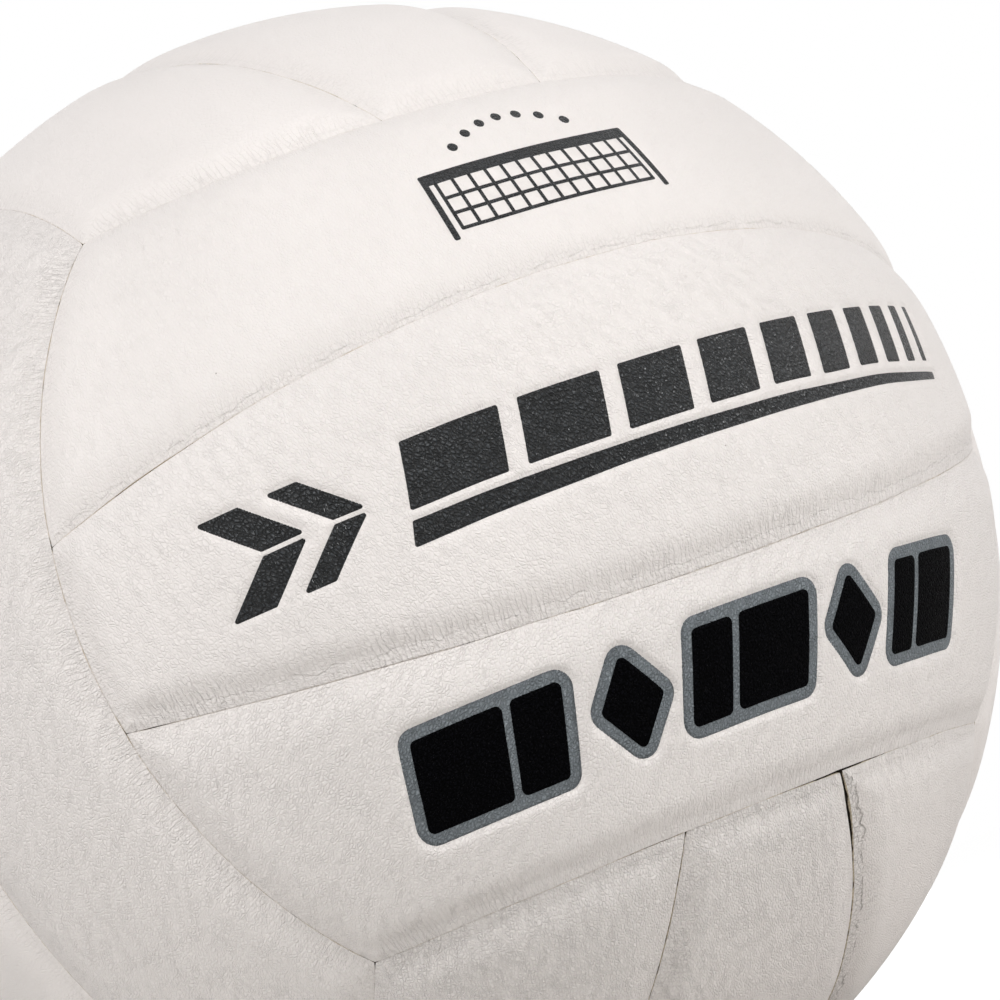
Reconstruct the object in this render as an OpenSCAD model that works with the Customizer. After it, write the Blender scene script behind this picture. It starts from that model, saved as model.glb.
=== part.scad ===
// Indoor volleyball with a stitched cover of eighteen padded panels, all lengths in millimetres.
// The cover has six faces of three strips. The origin is the ball's centre, +Z is up, the front
// face looks along -Y and the valve sits in the middle strip of the back face, on +Y.

/* [Ball] */
// Diameter over the crowns of the panels
ball_d = 210; // [195:1:225]
// Tilt of a face's two inner seams from its centre line, in degrees
inner_seam_tilt = 14.15; // [12:0.05:16]

/* [Cover layers] */
// Thickness of the synthetic leather
leather_t = 1; // [0.8:0.05:1.2]
// Thickness of the foam bonded under the leather
foam_t = 2.5; // [1.8:0.1:3.5]
// Thickness of the cloth lining bonded under the foam
lining_t = 0.5; // [0.3:0.05:0.8]
// Glue line between two layers
bond_gap = 0.1; // [0.05:0.01:0.15]

/* [Seams] */
// Width of the band beside a seam in which the crown rolls in
roll_w = 7.5; // [6:0.25:10]
// Depth below the crown at which two folded edges touch
seam_depth = 1.6; // [1.3:0.05:2]
// Outer radius of a folded leather edge
fold_r = 1.25; // [1.25:0.05:1.5]
// How far the roll's arc stands over the crown where the two meet
roll_lift = 0.06; // [0.03:0.01:0.1]
// Gap between the folded edges of two panels
seam_gap = 0.2; // [0.1:0.05:0.3]

/* [Stitching] */
// Diameter of the sewing thread
thread_d = 0.5; // [0.3:0.05:0.6]
// Depth of the stitch line below the line where the folded edges touch
stitch_drop = 1.3; // [1:0.05:1.5]
// Free space round the thread
thread_gap = 0.1; // [0.05:0.01:0.15]

/* [Bladder] */
// Wall of the butyl bladder
bladder_t = 0.6; // [0.4:0.05:1]
// Gap between the bladder and the turned hems of the cover
bladder_gap = 0.3; // [0.2:0.05:0.5]

/* [Valve] */
// Hole for the valve in the leather
valve_hole_d = 8; // [7.5:0.1:9]
// Head of the rubber plug that shows in the hole
plug_head_d = 7.2; // [6.6:0.1:7.2]
// Thickness of the plug's head
plug_head_t = 1.6; // [1.2:0.1:2]
// How far the head lies below the leather's crown
plug_sink = 0.4; // [0.2:0.05:0.8]
// Shank of the plug
plug_shank_d = 5.2; // [4.6:0.1:5.4]
// Length of the shank below the head
plug_shank_len = 19; // [16:0.5:24]
// Diameter over the plug's two sealing ribs
plug_rib_d = 5.7; // [5.5:0.05:5.8]
// Width of one sealing rib
plug_rib_w = 1.2; // [0.8:0.1:1.6]
// Free space between the plug and the socket that holds it
plug_gap = 0.1; // [0.05:0.01:0.15]
// Needle channel through the plug
needle_d = 1.8; // [1.6:0.1:2]
// Wider mouth of the needle channel
needle_mouth_d = 3.2; // [2.6:0.1:3.8]
// Depth of that mouth
needle_mouth_depth = 1; // [0.6:0.1:1.2]
// Rubber left closed below the needle channel
plug_tip_t = 1.5; // [1:0.1:2]
// Outer diameter of the socket that holds the plug
socket_d = 10; // [9.2:0.1:11]
// Length of the socket
socket_len = 17.5; // [14:0.5:22]
// Flange that is vulcanised to the inside of the bladder
flange_d = 30; // [24:0.5:34]
// Thickness of the flange
flange_t = 1.4; // [1:0.1:2]
// Clearance round the socket where it passes through a layer
socket_gap = 0.3; // [0.2:0.05:0.5]
// Reinforcing disc bonded to the outside of the bladder
patch_d = 36; // [34:0.5:38]
// Free space round the disc in the lining
patch_gap = 0.5; // [0.3:0.1:1]

/* [Hidden] */
$fn = 96;

ball_r = ball_d / 2;
// Every cutting shape reaches past the ball by this much
cut_overrun = 5;
reach = ball_r + cut_overrun;
// A face's long seams lie on the cones that run from the centre through a cube's corners
seam_elevation = asin(1 / sqrt(3));

// Radii of the layers, from the outside in
leather_in_r = ball_r - leather_t;
foam_out_r = leather_in_r - bond_gap;
foam_in_r = foam_out_r - foam_t;
lining_out_r = foam_in_r - bond_gap;
lining_in_r = lining_out_r - lining_t;
hem_in_r = lining_in_r;
bladder_r = hem_in_r - bladder_gap;
bladder_in_r = bladder_r - bladder_t;

// The rolled edge in the plane square to a seam, where x runs outwards from the ball's centre
// through the seam and y runs into the panel: a small fold circle stands on the side wall, and
// the large roll circle touches it from outside and rises to the crown at the roll angle
fold_x = ball_r - seam_depth;
fold_y = seam_gap / 2 + fold_r;
roll_angle = roll_w / ball_r * 180 / PI;
lifted_r = ball_r + roll_lift;
fold_reach = fold_x * cos(roll_angle) + fold_y * sin(roll_angle);
roll_r = (lifted_r * lifted_r - 2 * lifted_r * fold_reach + fold_x * fold_x + fold_y * fold_y
    - fold_r * fold_r) / (2 * (lifted_r - fold_reach - fold_r));
roll_x = (lifted_r - roll_r) * cos(roll_angle);
roll_y = (lifted_r - roll_r) * sin(roll_angle);
fold_angle = atan2(fold_y - roll_y, fold_x - roll_x);

// Distances of the layers' side walls from the middle of a seam
hem_wall = seam_gap / 2;
lining_wall = hem_wall + leather_t + bond_gap;
thread_y = hem_wall + leather_t + thread_gap + thread_d / 2;
thread_x = fold_x - stitch_drop;
foam_wall = thread_y + thread_d / 2 + thread_gap;

// The stitch runs as angles seen from the ball's centre: a run keeps the thread angle from its
// seam, and stops one thread's width before it meets the run along the next edge
thread_r = sqrt(thread_x * thread_x + thread_y * thread_y);
thread_angle = atan2(thread_y, thread_x);
run_stop = thread_d / thread_r * 180 / PI;
end_cone = 90 - seam_elevation - thread_angle;
long_height = seam_elevation - thread_angle;
long_run = acos(cos(end_cone) / cos(long_height)) - run_stop;
// Half the turn of a run beside an inner seam, on the side above it (1) or below it (-1)
function inner_run(side) =
    acos((cos(end_cone) + side * sin(thread_angle) * sin(inner_seam_tilt))
        / (cos(thread_angle) * cos(inner_seam_tilt))) - run_stop;
// Height angle at which a face's end meets the run beside an inner seam
function end_height(side) =
    asin((side * sin(thread_angle) + cos(end_cone) * sin(inner_seam_tilt))
        / (sin(end_cone) * cos(inner_seam_tilt)));
end_stop = run_stop / sin(end_cone);
// First and last turn angle of a run along a face's end, for an outer strip (1) or the middle (-1)
function end_run(side) = side > 0
    ? [end_height(1) + end_stop, asin(sin(long_height) / sin(end_cone)) - end_stop]
    : [end_stop - end_height(-1), end_height(-1) - end_stop];

// The faces, each with the turn that brings the front face there: an angle about the line
// x = y = z, then turns about X and Z
FACES = [
    ["front", 0, 0, 0],
    ["back", 0, 0, 180],
    ["left", -120, 0, 0],
    ["right", -120, 0, 180],
    ["top", 120, 180, 0],
    ["bottom", 120, 0, 0]
];
// What a face's strips are called, from its -Z strip to its +Z strip before the turn
STRIP_NAMES = [
    ["lower", "middle", "upper"],
    ["lower", "middle", "upper"],
    ["front", "middle", "back"],
    ["back", "middle", "front"],
    ["left", "middle", "right"],
    ["left", "middle", "right"]
];
STRIPS = [-1, 0, 1];
VALVE_FACE = 1;
VALVE_STRIP = 0;

function strip_node(face, strip, layer) =
    str(FACES[face][0], "_", STRIP_NAMES[face][strip + 1], "_", layer);
function face_node(face, layer) = str(FACES[face][0], "_", layer);

PANEL_NODES = [for (f = [0:5]) for (s = STRIPS) strip_node(f, s, "panel")];
FOAM_NODES = [for (f = [0:5]) for (s = STRIPS) strip_node(f, s, "foam")];
LINING_NODES = [for (f = [0:5]) face_node(f, "lining")];
THREAD_NODES = [for (f = [0:5]) face_node(f, "stitching")];
VALVE_NODES = ["bladder", "valve_patch", "valve_socket", "valve_plug"];

// The half of the drawing plane that a revolve can use
module revolve_half() {
    translate([0, -reach]) square([reach, 2 * reach]);
}

// The panel's side of a seam, where wall is the side wall's distance from the middle of the seam
module plain_side(wall) {
    translate([0, wall]) square([reach, reach - wall]);
}

// The part of that side which lies beyond the roll, where the crown is plain
module crown_side() {
    out = reach * [cos(roll_angle), sin(roll_angle)];
    polygon([[0, 0], out, [out[0], reach], [0, reach]]);
}

// The panel's side of a seam for a layer under the leather's face: roll_in deep and with a
// sharp lower edge
module under_side(roll_in, wall) {
    intersection() {
        union() {
            crown_side();
            translate([roll_x, roll_y]) circle(roll_r - roll_in);
        }
        plain_side(wall);
    }
}

// The panel's side of a seam for the leather's face, with the roll, the fold and the hem's wall
module face_side() {
    out = reach * [cos(roll_angle), sin(roll_angle)];
    into_fold = reach * [cos(fold_angle), sin(fold_angle)];
    roll_centre = [roll_x, roll_y];
    crown_side();
    // The roll ends on the ray that runs through the fold's centre
    intersection() {
        translate(roll_centre) circle(roll_r);
        polygon([
            roll_centre,
            roll_centre + into_fold,
            roll_centre + into_fold + out,
            roll_centre + out
        ]);
    }
    translate([fold_x, fold_y]) circle(fold_r);
    translate([0, hem_wall]) square([fold_x, reach - hem_wall]);
}

// Section of a round dish that covers one whole face, with its rim finished by the child
module face_dish(r_out, r_in) {
    rotate([90, 0, 0]) rotate_extrude() intersection() {
        difference() {
            circle(r_out);
            circle(r_in);
        }
        rotate(seam_elevation) children(0);
        revolve_half();
    }
}

// What lies beyond a face's long seam on its +Z side, where the child is the panel's side. Like
// the next one, it starts its turn at the ball's back, away from the panel that it shapes.
module beyond_long_seam() {
    rotate(90) rotate_extrude() intersection() {
        revolve_half();
        rotate(seam_elevation) mirror([0, 1]) difference() {
            revolve_half();
            children(0);
        }
    }
}

// What lies beyond a face's inner seam on its +Z side, for a panel above it (1) or below it (-1)
module beyond_inner_seam(side) {
    rotate([-inner_seam_tilt, 0, 0]) mirror([0, 0, (1 - side) / 2]) rotate(90)
        rotate_extrude() difference() {
            revolve_half();
            children(0);
        }
}

// One strip of the front face between two radii: -1 lower, 0 middle, 1 upper
module strip_body(strip, r_out, r_in) {
    if (strip == 0) {
        difference() {
            face_dish(r_out, r_in) children(0);
            beyond_inner_seam(-1) children(0);
            mirror([0, 0, 1]) beyond_inner_seam(-1) children(0);
        }
    } else {
        mirror([0, 0, (1 - strip) / 2]) difference() {
            face_dish(r_out, r_in) children(0);
            beyond_long_seam() children(0);
            beyond_inner_seam(1) children(0);
        }
    }
}

// Moves a piece of the front face to its own face
module on_face(face) {
    rotate([0, 0, FACES[face][3]]) rotate([FACES[face][2], 0, 0])
        rotate(FACES[face][1], [1, 1, 1]) children();
}

// Stands a piece drawn along +Z from the ball's centre on the valve's axis
module on_valve_axis() {
    rotate([-90, 0, 0]) children();
}

// The hole for the valve, in the one strip that carries it
module valve_hole(face, strip, d) {
    if (face == VALVE_FACE && strip == VALVE_STRIP)
        on_valve_axis() cylinder(h = reach, d = d);
}

// A leather panel: a thin puffed skin whose four edges are folded in and stand inwards as hems
module panel(face, strip) {
    color("#ece9e6") difference() {
        on_face(face) difference() {
            strip_body(strip, ball_r, hem_in_r) face_side();
            strip_body(strip, leather_in_r, hem_in_r - cut_overrun)
                under_side(leather_t, hem_wall + leather_t);
        }
        valve_hole(face, strip, valve_hole_d);
    }
}

// The foam under a panel, kept back from the hems to leave room for the stitching
module foam(face, strip) {
    color("#e8dcae") difference() {
        on_face(face) strip_body(strip, foam_out_r, foam_in_r)
            under_side(leather_t + bond_gap, foam_wall);
        valve_hole(face, strip, socket_d + 2 * socket_gap);
    }
}

// The cloth under the foams of one face
module lining(face) {
    color("#d9d6cf") for (strip = STRIPS) difference() {
        on_face(face) strip_body(strip, lining_out_r, lining_in_r)
            plain_side(lining_wall);
        valve_hole(face, strip, patch_d + 2 * patch_gap);
    }
}

// One run of thread round +Z, at a height angle over the ball's centre plane, from one turn
// angle to another, where the front of the ball is at zero
module thread_run(height, from, to) {
    rotate(from - 90) rotate_extrude(angle = to - from) rotate(height)
        translate([thread_r, 0]) circle(d = thread_d, $fn = 24);
}

// The lock stitch runs inside the hems of each panel of one face: one run along each edge
module stitching(face) {
    color("#c9b79a") on_face(face) for (strip = STRIPS) mirror([0, 0, strip < 0 ? 1 : 0]) {
        side = strip == 0 ? -1 : 1;
        // Along the inner seam, and along the long seam or the other inner seam
        for (half = strip == 0 ? [0, 1] : [0]) mirror([0, 0, half])
            rotate([-inner_seam_tilt, 0, 0])
                thread_run(side * thread_angle, -inner_run(side), inner_run(side));
        if (strip != 0)
            thread_run(long_height, -long_run, long_run);
        // Along both ends
        for (end = [0, 1]) mirror([end, 0, 0]) rotate([90, 0, 0])
            rotate(90) thread_run(90 - end_cone, end_run(side)[0], end_run(side)[1]);
    }
}

// The airtight bladder, open only where the valve's socket goes through
module bladder() {
    color("#2b2b2d") difference() {
        sphere(bladder_r);
        sphere(bladder_in_r);
        on_valve_axis() cylinder(h = reach, d = socket_d + 2 * bond_gap);
    }
}

// The disc that reinforces the bladder round the valve and fills the lining's opening
module valve_patch() {
    color("#3a3a3c") on_valve_axis() difference() {
        intersection() {
            sphere(lining_out_r);
            cylinder(h = reach, d = patch_d);
        }
        sphere(bladder_r + bond_gap);
        cylinder(h = reach, d = socket_d + 2 * bond_gap);
    }
}

// Heights along the valve's axis, measured from the ball's centre
plug_top = ball_r - plug_sink;
plug_seat = plug_top - plug_head_t;
plug_end = plug_seat - plug_shank_len;
socket_top = leather_in_r - bond_gap;
socket_end = socket_top - socket_len;
socket_bore_d = plug_rib_d + 2 * plug_gap;

// The rubber socket, with the flange that is vulcanised inside the bladder
module valve_socket() {
    color("#1f1f21") on_valve_axis() difference() {
        union() {
            intersection() {
                sphere(socket_top);
                translate([0, 0, socket_end]) cylinder(h = socket_len + cut_overrun, d = socket_d);
            }
            difference() {
                intersection() {
                    sphere(bladder_in_r - bond_gap);
                    cylinder(h = reach, d = flange_d);
                }
                sphere(bladder_in_r - bond_gap - flange_t);
            }
        }
        translate([0, 0, socket_end - cut_overrun])
            cylinder(h = socket_len + 2 * cut_overrun, d = socket_bore_d);
        translate([0, 0, plug_seat - plug_gap])
            cylinder(h = reach, d = plug_head_d + 2 * plug_gap);
    }
}

// Half outline of the plug, from its tip up to its head
module plug_profile() {
    tip_r = plug_shank_d / 2 - plug_tip_t / 2;
    polygon([
        [0, plug_end],
        [tip_r, plug_end],
        [plug_shank_d / 2, plug_end + plug_tip_t],
        [plug_shank_d / 2, plug_seat],
        [plug_head_d / 2, plug_seat],
        [plug_head_d / 2, plug_top - plug_sink / 2],
        [plug_head_d / 2 - plug_sink / 2, plug_top],
        [0, plug_top]
    ]);
    for (share = rib_place_shares)
        translate([0, plug_end + share * plug_shank_len])
            polygon([
                [0, -plug_rib_w],
                [plug_shank_d / 2, -plug_rib_w],
                [plug_rib_d / 2, -plug_rib_w / 2],
                [plug_rib_d / 2, plug_rib_w / 2],
                [plug_shank_d / 2, plug_rib_w],
                [0, plug_rib_w]
            ]);
}
// Where the two sealing ribs lie along the shank
rib_place_shares = [0.4, 0.75];

// The replaceable plug with the blind channel that takes the inflating needle
module valve_plug() {
    channel_end = plug_end + plug_tip_t;
    mouth_start = plug_top - needle_mouth_depth;
    color("#111113") on_valve_axis() difference() {
        rotate_extrude() plug_profile();
        translate([0, 0, channel_end]) cylinder(h = reach - channel_end, d = needle_d);
        rotate_extrude() polygon([
            [0, mouth_start],
            [needle_d / 2, mouth_start],
            [needle_mouth_d / 2, plug_top],
            [needle_mouth_d / 2, plug_top + cut_overrun],
            [0, plug_top + cut_overrun]
        ]);
    }
}

for (f = [0:5]) for (s = STRIPS) {
    panel(f, s);
    foam(f, s);
}
for (f = [0:5]) {
    lining(f);
    stitching(f);
}
bladder();
valve_patch();
valve_socket();
valve_plug();
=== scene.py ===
"""The looks of an indoor volleyball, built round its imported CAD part.

Every panel of the cover is a closed leather shell worked out with numpy: a direction from the
ball's centre as a function of two parameters, times a radius as a function of that direction.
Lengths in the functions are millimetres, and every mesh is written in metres.
"""

from types import SimpleNamespace

import bpy
import numpy as np
from mathutils import Matrix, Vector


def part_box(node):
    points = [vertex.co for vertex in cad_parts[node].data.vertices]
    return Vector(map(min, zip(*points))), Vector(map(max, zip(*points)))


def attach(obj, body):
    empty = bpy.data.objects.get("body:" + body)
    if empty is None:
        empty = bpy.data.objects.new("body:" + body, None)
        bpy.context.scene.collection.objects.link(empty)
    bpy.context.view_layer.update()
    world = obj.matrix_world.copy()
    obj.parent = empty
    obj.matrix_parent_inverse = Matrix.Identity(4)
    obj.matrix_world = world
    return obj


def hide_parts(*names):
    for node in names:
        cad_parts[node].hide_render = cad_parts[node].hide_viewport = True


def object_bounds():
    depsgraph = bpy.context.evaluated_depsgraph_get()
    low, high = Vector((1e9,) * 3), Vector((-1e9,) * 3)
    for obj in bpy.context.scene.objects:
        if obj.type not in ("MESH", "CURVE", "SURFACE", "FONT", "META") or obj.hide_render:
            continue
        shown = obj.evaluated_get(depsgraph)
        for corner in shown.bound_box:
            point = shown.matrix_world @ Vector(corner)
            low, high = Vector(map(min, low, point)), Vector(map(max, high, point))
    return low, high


bl_info = {
    "name": "Volleyball",
    "version": (1, 0, 0),
    "blender": (4, 5, 0),
    "location": "3D View > Sidebar > Volleyball",
    "description": "Builds the padded cover, the prints, the valve and the stage of a volleyball",
    "category": "Add Mesh",
}

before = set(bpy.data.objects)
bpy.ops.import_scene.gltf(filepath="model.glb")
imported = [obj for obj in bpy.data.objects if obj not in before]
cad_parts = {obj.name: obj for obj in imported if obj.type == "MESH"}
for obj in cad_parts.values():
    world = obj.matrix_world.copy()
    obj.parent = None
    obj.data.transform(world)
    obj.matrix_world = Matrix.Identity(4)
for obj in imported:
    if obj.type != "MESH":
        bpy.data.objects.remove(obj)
CAD_BOX = [list(corner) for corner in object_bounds()]

MM = 0.001
# Millimetres: the ball's radius, the leather's thickness, the radius at which the folded hems end
# and the radius of the valve's hole
BALL_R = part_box("top_middle_panel")[1][2] / MM
LEATHER_T = 1.0
HEM_R = BALL_R - 4.2
VALVE_HOLE_R = 4.0
# Height angle of the seam circles between two faces over the plane through the ball's centre
SEAM_ELEVATION = np.arcsin(1 / np.sqrt(3))


# Directions on the ball

def turned(axis, degrees):
    """Turning matrix about an axis, after Rodrigues: the unit matrix, plus the sine of the angle
    times the axis's cross matrix, plus one less its cosine times that matrix's square."""
    x, y, z = np.asarray(axis, float) / np.linalg.norm(axis)
    cross = np.array([[0, -z, y], [z, 0, -x], [-y, x, 0]])
    angle = np.radians(degrees)
    return np.eye(3) + np.sin(angle) * cross + (1 - np.cos(angle)) * cross @ cross


def face_turn(about_diagonal, about_x, about_z):
    """The turn that brings the front face to its own place on the ball."""
    return turned((0, 0, 1), about_z) @ turned((1, 0, 0), about_x) @ turned((1, 1, 1), about_diagonal)


FACES = {
    "front": (face_turn(0, 0, 0), ("lower", "middle", "upper")),
    "back": (face_turn(0, 0, 180), ("lower", "middle", "upper")),
    "left": (face_turn(-120, 0, 0), ("front", "middle", "back")),
    "right": (face_turn(-120, 0, 180), ("back", "middle", "front")),
    "top": (face_turn(120, 180, 0), ("left", "middle", "right")),
    "bottom": (face_turn(120, 0, 0), ("left", "middle", "right")),
}


def panel_name(face, strip):
    """A panel's place in words, from its face and its strip: -1, 0 or 1."""
    return f"{face}_{FACES[face][1][strip + 1]}"


def unit(v):
    """Vectors brought to length one."""
    return v / np.linalg.norm(v, axis=-1, keepdims=True)


def strip_sides(strip, tilt):
    """The three seam circles round a strip of the front face, each as its axis, which points into
    the strip, and its height angle over the plane through the centre: lower, upper and ends."""
    s, c = np.sin(np.radians(tilt)), np.cos(np.radians(tilt))
    ends = (np.array([0, -1.0, 0]), SEAM_ELEVATION)
    if strip == 0:
        return (np.array([0, -s, c]), 0.0), (np.array([0, -s, -c]), 0.0), ends
    if strip > 0:
        return (np.array([0, s, c]), 0.0), (np.array([0, 0, -1.0]), -SEAM_ELEVATION), ends
    return (np.array([0, 0, 1.0]), -SEAM_ELEVATION), (np.array([0, s, -c]), 0.0), ends


def meeting(one, other, inset, hand):
    """Where two circles meet, on the ball's right (hand 1) or left (hand -1): the sum of both
    axes and of their cross product that has the two circles' height angles, moved in by inset."""
    g = one[0] @ other[0]
    a, b = np.sin(one[1] + inset), np.sin(other[1] + inset)
    p, q = (a - g * b) / (1 - g * g), (b - g * a) / (1 - g * g)
    cross = np.cross(one[0], other[0])
    length = np.sqrt((1 - p * p - q * q - 2 * p * q * g) / (cross @ cross))
    return p * one[0] + q * other[0] + hand * np.sign(cross[0]) * length * cross


def arc(side, inset, start, stop, share):
    """Points of a seam circle between two of its points: the axis times the sine of the height
    angle, plus a radius that turns evenly with share."""
    axis, height = side[0], side[1] + inset
    a = unit(start - (start @ axis) * axis)
    b = np.cross(axis, a)
    angle = np.arctan2(stop @ b, stop @ a) * share[:, None]
    return np.sin(height) * axis + np.cos(height) * (np.cos(angle) * a + np.sin(angle) * b)


def strip_patch(strip, tilt, inset_mm, u, v):
    """Directions over a strip of the front face. A Coons patch: the blend of the two long sides,
    plus the blend of the two ends, less the blend of the four corners, brought to length one."""
    lower, upper, ends = strip_sides(strip, tilt)
    inset = inset_mm / BALL_R
    a, b = meeting(lower, ends, inset, -1), meeting(lower, ends, inset, 1)
    d, c = meeting(upper, ends, inset, -1), meeting(upper, ends, inset, 1)
    across, along = v[:, None, None], u[None, :, None]
    long_sides = (1 - across) * arc(lower, inset, a, b, u)[None] + across * arc(upper, inset, d, c, u)[None]
    left, right = arc(ends, inset, a, d, v)[:, None], arc(ends, inset, b, c, v)[:, None]
    short_sides = (1 - along) * left + along * right
    corners = (1 - across) * ((1 - along) * a + along * b) + across * ((1 - along) * d + along * c)
    return unit(long_sides + short_sides - corners)


def seam_distance(n, strip, tilt):
    """Distances in millimetres from the lower seam, the upper seam and the nearer end: the height
    angle over each seam's own circle times the ball's radius."""
    sides = strip_sides(strip, tilt)
    return [(np.arcsin(np.clip(n @ side[0], -1, 1)) - side[1]) * BALL_R for side in sides]


def spaced(count, length, fine, coarse, reach):
    """count + 1 shares from 0 to 1 whose spacing grows from fine at both ends to coarse within
    reach: the running sum of one over the spacing, read backwards."""
    x = np.linspace(0, length, 4001)
    d = np.minimum(x, length - x)
    total = np.cumsum(1 / (fine + (coarse - fine) * (1 - np.exp(-d / reach))))
    return np.interp(np.linspace(total[0], total[-1], count + 1), total, x / length)


def value_noise(p, seed):
    """Smooth noise from -1 to 1: each corner of a unit lattice has a hashed value, and a point
    blends its eight corners with weights 3t^2 - 2t^3."""
    cell = np.floor(p).astype(np.int64)
    t = p - cell
    t = t * t * (3 - 2 * t)
    total = np.zeros(p.shape[:-1])
    for corner in np.ndindex(2, 2, 2):
        x, y, z = np.moveaxis(cell + corner, -1, 0)
        h = (x * 73856093 ^ y * 19349663 ^ z * 83492791 ^ (seed + 1) * 40503361) & 0xFFFFFFFF
        h = ((h ^ (h >> 15)) * 739982445) & 0xFFFFFFFF
        h = ((h ^ (h >> 12)) * 695872825) & 0xFFFFFFFF
        weight = np.prod(np.where(np.array(corner) == 1, t, 1 - t), axis=-1)
        total += weight * ((h ^ (h >> 16)) / 2147483648.0 - 1)
    return total


def smooth_step(x, low, high):
    """0 below low, 1 above high and 3t^2 - 2t^3 between them."""
    t = np.clip((x - low) / (high - low), 0, 1)
    return t * t * (3 - 2 * t)


# Prints: flat shapes in millimetres, x along the strip and y up, wrapped round the ball

def slanted(x, y, width, height, lean=0.24):
    """Corners of a block that leans to the right, from its lower left corner."""
    run = height * lean
    return [(x, y), (x + width, y), (x + width + run, y + height), (x + run, y + height)]


def slant_row(x, y, widths, height, gap):
    """A row of leaning blocks, each one gap after the last."""
    starts = x + np.cumsum([0] + [w + gap for w in widths[:-1]])
    return [slanted(s, y, w, height) for s, w in zip(starts, widths)]


def chevron(x, y, width, height, depth, slit=1.4):
    """The two leaning halves of an arrowhead that points to the right, with a slit between them."""
    half = (height - slit) / 2
    top = y + height
    return [
        [(x, y), (x + width, y), (x + width + depth, y + half), (x + depth, y + half)],
        [(x + depth, top - half), (x + width + depth, top - half), (x + width, top), (x, top)],
    ]


def diamond(x, y, width, height):
    """Corners of a rhomb round its centre."""
    return [(x - width / 2, y), (x, y - height / 2), (x + width / 2, y), (x, y + height / 2)]


def net_lines(x, y, width, height, columns, rows):
    """Cords of a net: upright ones and level ones, as pairs of end points."""
    across = [x + width * k / columns for k in range(columns + 1)]
    up = [y + height * k / rows for k in range(rows)]
    return [[(a, y), (a, y + height)] for a in across] + [[(x, b), (x + width, b)] for b in up]


# The large print: pairs of leaning blocks on plates, with rhombs between them. The blocks and plates
# are given by their place along the strip and their width, in millimetres
LARGE_FOOT, LARGE_HEIGHT = -47.4, 12.6
RHOMBS = [diamond(x, -41.1, 9, 12) for x in (-23.4, 22.8)]
BLOCKS = [slanted(x, LARGE_FOOT, width, LARGE_HEIGHT) for x, width in
          ((-61, 13.2), (-44.4, 6.6), (-12.8, 5.8), (-3.6, 12.8), (33.4, 4.4), (41.2, 10.2))]
PLATES = [slanted(x, LARGE_FOOT, width, LARGE_HEIGHT) for x, width in
          ((-61, 23.2), (-12.8, 22), (33.4, 18))]
LARGE_BLOCKS = BLOCKS[:2] + RHOMBS[:1] + BLOCKS[2:4] + RHOMBS[1:] + BLOCKS[4:]
LARGE_PLATES = [PLATES[0], RHOMBS[0], PLATES[1], RHOMBS[1], PLATES[2]]
# The row of leaning blocks that get narrower over a bar, and two arrowheads before it
ROW_WIDTHS = (15, 13, 11.2, 9.4, 7.8, 6.4, 5.1, 3.9, 2.8, 1.9)
ROW = slant_row(-45, -2.3, ROW_WIDTHS, 9.4, 4.0)
ARROWS = chevron(-75, -7.6, 6.2, 15.2, 7.4) + chevron(-63.5, -7.6, 4.2, 15.2, 7.4)
BAR = [(-46.4, -7.6), (68, -5.6), (68.2, -5.0), (-45.5, -4.5)]
# The net with its tape and posts, and a row of dots over it
NET = net_lines(-19, 36.5, 38, 9.5, 12, 3)
NET_FRAME = [
    [(-21, 46.4), (21, 46.4), (21, 48.0), (-21, 48.0)],
    [(-21, 35), (-20.6, 35), (-20.6, 48), (-21, 48)],
    [(20.6, 35), (21, 35), (21, 48), (20.6, 48)],
]
NET_DOTS = [diamond(x, 56.5 - 0.028 * x * x, 0.2, 0.2) for x in range(-12, 13, 4)]

# Name: strip, ink, rounding radius, pressed depth, lift of the ink, shapes
PRINTS = {
    "front_middle_ink": (0, "ink", 0.35, 0.5, 0.03, ARROWS + ROW + [BAR]),
    "front_lower_grey": (-1, "grey", 2.9, 0.62, 0.03, LARGE_PLATES),
    "front_lower_ink": (-1, "film", 1.0, 0.0, 0.07, LARGE_BLOCKS),
    "front_upper_ink": (1, "ink", 0.32, 0.2, 0.03, NET + NET_FRAME),
    "front_upper_dots": (1, "ink", 0.85, 0.2, 0.03, NET_DOTS),
}
# Round a pressed print: the width of its soft shoulder, where its wall starts and the wall's width
SHOULDER, WALL_START, WALL_WIDTH = 2.3, 1.05, 0.9


def outline(corners, radius, step):
    """Rounded outline round a convex shape, anticlockwise: each edge moved out by radius, and an
    arc of that radius round each corner."""
    p = np.asarray(corners, float)
    q = np.roll(p, -1, axis=0)
    run = (q - p) / np.linalg.norm(q - p, axis=1)[:, None]
    out = np.stack([run[:, 1], -run[:, 0]], axis=1)
    heading = np.arctan2(out[:, 1], out[:, 0])
    turn = (np.roll(heading, -1) - heading) % (2 * np.pi)
    points = []
    for k in range(len(p)):
        share = np.linspace(0, 1, max(2, int(np.linalg.norm(q[k] - p[k]) / step)))[:, None]
        points.append(p[k] + share * (q[k] - p[k]) + radius * out[k])
        angle = heading[k] + turn[k] * np.linspace(0, 1, 7)[1:-1, None]
        points.append(q[k] + radius * np.concatenate([np.cos(angle), np.sin(angle)], axis=1))
    return np.concatenate(points)


def outside_distance(x, y, corners):
    """Distance from a convex shape, zero inside it: the least distance to one of its edges."""
    p = np.asarray(corners, float)
    best, inside = np.full(x.shape, np.inf), np.ones(x.shape, bool)
    for a, b in zip(p, np.roll(p, -1, axis=0)):
        run = b - a
        share = np.clip(((x - a[0]) * run[0] + (y - a[1]) * run[1]) / (run @ run), 0, 1)
        best = np.minimum(best, np.hypot(x - a[0] - share * run[0], y - a[1] - share * run[1]))
        inside &= run[0] * (y - a[1]) - run[1] * (x - a[0]) >= 0
    return np.where(inside, 0, best)


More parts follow.
